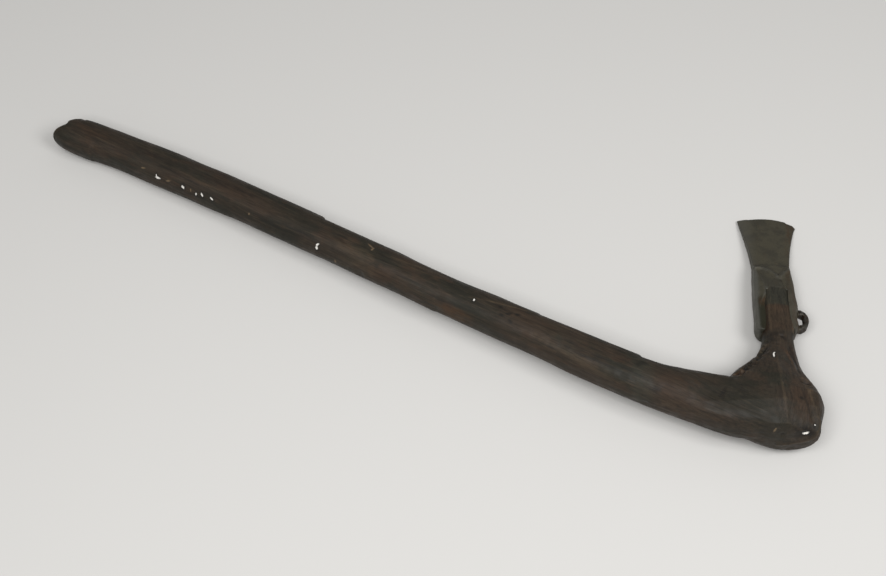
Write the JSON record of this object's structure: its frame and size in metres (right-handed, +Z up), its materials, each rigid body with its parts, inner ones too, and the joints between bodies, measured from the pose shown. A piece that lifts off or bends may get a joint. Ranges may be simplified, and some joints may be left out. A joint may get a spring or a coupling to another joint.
{
  "type": "long-handled winged adze",
  "caption": "Long-handled adze: a hewn branch handle with a thick knee, whose forked tongue is gripped by the wings of a cast bronze head with a side loop.",
  "frame": {"origin": "centre of the hewn flat under the knee, on the surface that the tool lies on", "axes": "+Z up from that surface; X along the handle, with the butt at -X; the bronze head leaves the knee towards +Y and leans to -X"},
  "size_m": [0.7393, 0.2505, 0.056],
  "materials": {
    "haft_wood": "very dark brown old wood with black and reddish streaks, low satin sheen, worn pale chips",
    "cast_bronze": "dark grey-olive bronze patina, greyer on the rounded wings, brown along the edges"
  },
  "bodies": {
    "root": {"haft": "haft_wood", "adze_head": "cast_bronze"}
  },
  "joints": []
}
